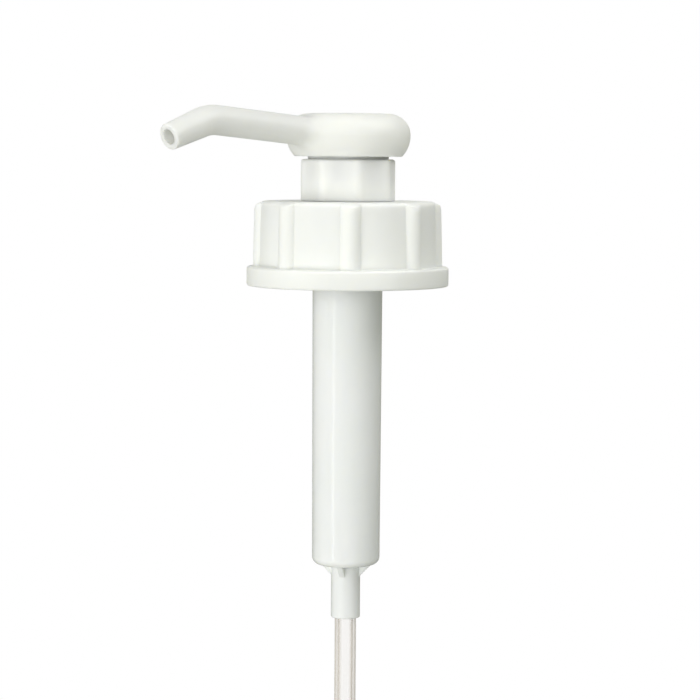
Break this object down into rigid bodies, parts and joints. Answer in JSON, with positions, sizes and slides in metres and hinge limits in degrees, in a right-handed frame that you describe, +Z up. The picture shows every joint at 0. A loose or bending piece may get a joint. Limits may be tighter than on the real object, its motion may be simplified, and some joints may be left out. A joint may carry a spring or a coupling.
{
  "type": "condiment pump dispenser",
  "caption": "Press-down sauce pump with a round thumb pad, bent spout, octagonal locking nut, ribbed wide-neck screw cap, long barrel and dip tube.",
  "frame": {"origin": "on the pump axis, in the plane of the gasket's underside, which rests on the rim of the container's neck", "axes": "+Z up along the pump axis, -Z down the dip tube into the container, -X towards the spout's tip"},
  "size_m": [0.124, 0.075, 0.2907],
  "materials": {
    "head_plastic": "satin white polypropylene",
    "cap_plastic": "satin white polypropylene",
    "nut_plastic": "satin white polypropylene",
    "barrel_plastic": "glossy, slightly translucent white polypropylene",
    "tube_plastic": "translucent natural polyethylene",
    "inner_plastic": "smooth white acetal",
    "seal_rubber": "soft food-grade silicone",
    "gasket_foam": "matt white foam liner",
    "spring_steel": "drawn stainless wire",
    "ball_steel": "polished stainless"
  },
  "bodies": {
    "pump_body": {"barrel": "barrel_plastic", "locking_nut": "nut_plastic", "neck_gasket": "gasket_foam", "guide_sleeve": "inner_plastic", "stem_wiper": "seal_rubber", "wiper_retainer": "inner_plastic", "suction_ball_cage": "inner_plastic", "return_spring": "spring_steel", "dip_tube": "tube_plastic"},
    "piston": {"piston_seal": "seal_rubber", "spring_top_seat": "inner_plastic"},
    "head": {"actuator_head": "head_plastic", "stem": "inner_plastic", "stem_o_ring": "seal_rubber", "piston_carrier": "inner_plastic", "discharge_ball_stop": "inner_plastic"},
    "closure": {"closure_cap": "cap_plastic"},
    "suction_valve": {"suction_ball": "ball_steel"},
    "discharge_valve": {"discharge_ball": "ball_steel"}
  },
  "joints": [
    {"name": "pump_stroke", "type": "slide", "parent": "pump_body", "child": "piston", "axis": [0, 0, 1], "range_m": [0, 0.076], "deforming": ["return_spring"]},
    {"name": "head_swivel", "type": "hinge", "parent": "piston", "child": "head", "pos_m": [0, 0, 0.03], "axis": [0, 0, 1], "continuous": true},
    {"name": "cap_turn", "type": "hinge", "parent": "pump_body", "child": "closure", "pos_m": [0, 0, 0], "axis": [0, 0, 1], "continuous": true},
    {"name": "suction_ball_lift", "type": "slide", "parent": "pump_body", "child": "suction_valve", "axis": [0, 0, 1], "range_m": [0, 0.003]},
    {"name": "discharge_ball_lift", "type": "slide", "parent": "head", "child": "discharge_valve", "axis": [0, 0, 1], "range_m": [0, 0.003]}
  ]
}
